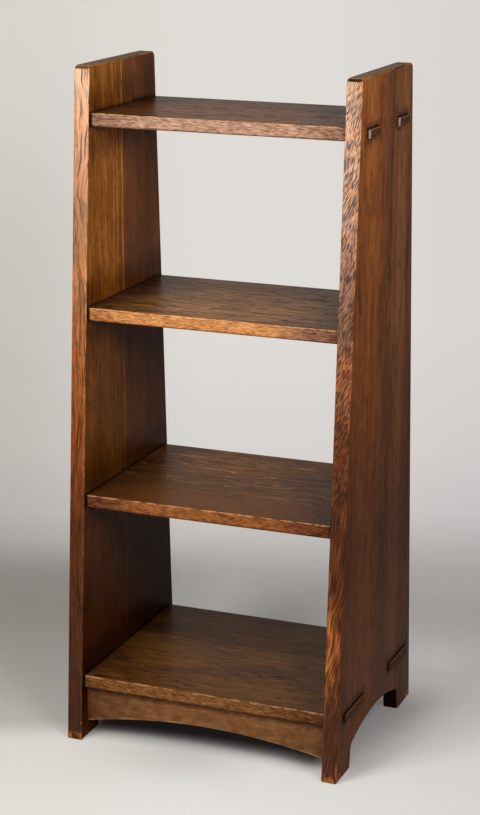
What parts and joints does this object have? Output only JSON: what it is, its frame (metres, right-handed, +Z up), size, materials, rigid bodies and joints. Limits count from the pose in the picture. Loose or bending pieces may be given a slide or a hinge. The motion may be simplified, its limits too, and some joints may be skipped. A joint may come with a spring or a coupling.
{
  "type": "magazine stand",
  "caption": "Free-standing open oak magazine stand: sides tapering upwards with arched feet, shelves with through tenons, and arched rails under the lowest shelf.",
  "frame": {"origin": "on the floor, at the middle of the stand's width and depth", "axes": "+X along the shelves to the right as seen from the front, -Y towards the front, +Z up"},
  "size_m": [0.4454, 0.3594, 1.0194],
  "materials": {
    "oak_sides": "dark stained oak, satin varnish, worn arrises",
    "oak_shelves": "dark stained oak, satin varnish, worn front arrises",
    "oak_rails": "dark stained oak with ray fleck, satin varnish",
    "block_wood": "unfinished softwood, aged",
    "dowel_wood": "plain birch dowel"
  },
  "bodies": {
    "root": {"left_side_front_board": "oak_sides", "left_side_back_board": "oak_sides", "right_side_front_board": "oak_sides", "right_side_back_board": "oak_sides", "top_shelf": "oak_shelves", "upper_shelf": "oak_shelves", "lower_shelf": "oak_shelves", "bottom_shelf_front_board": "oak_shelves", "bottom_shelf_back_board": "oak_shelves", "front_rail": "oak_rails", "back_rail": "oak_rails", "front_left_glue_block": "block_wood", "front_middle_glue_block": "block_wood", "front_right_glue_block": "block_wood", "back_left_glue_block": "block_wood", "back_middle_glue_block": "block_wood", "back_right_glue_block": "block_wood", "left_side_dowels": "dowel_wood", "right_side_dowels": "dowel_wood", "bottom_shelf_dowels": "dowel_wood"}
  },
  "joints": []
}
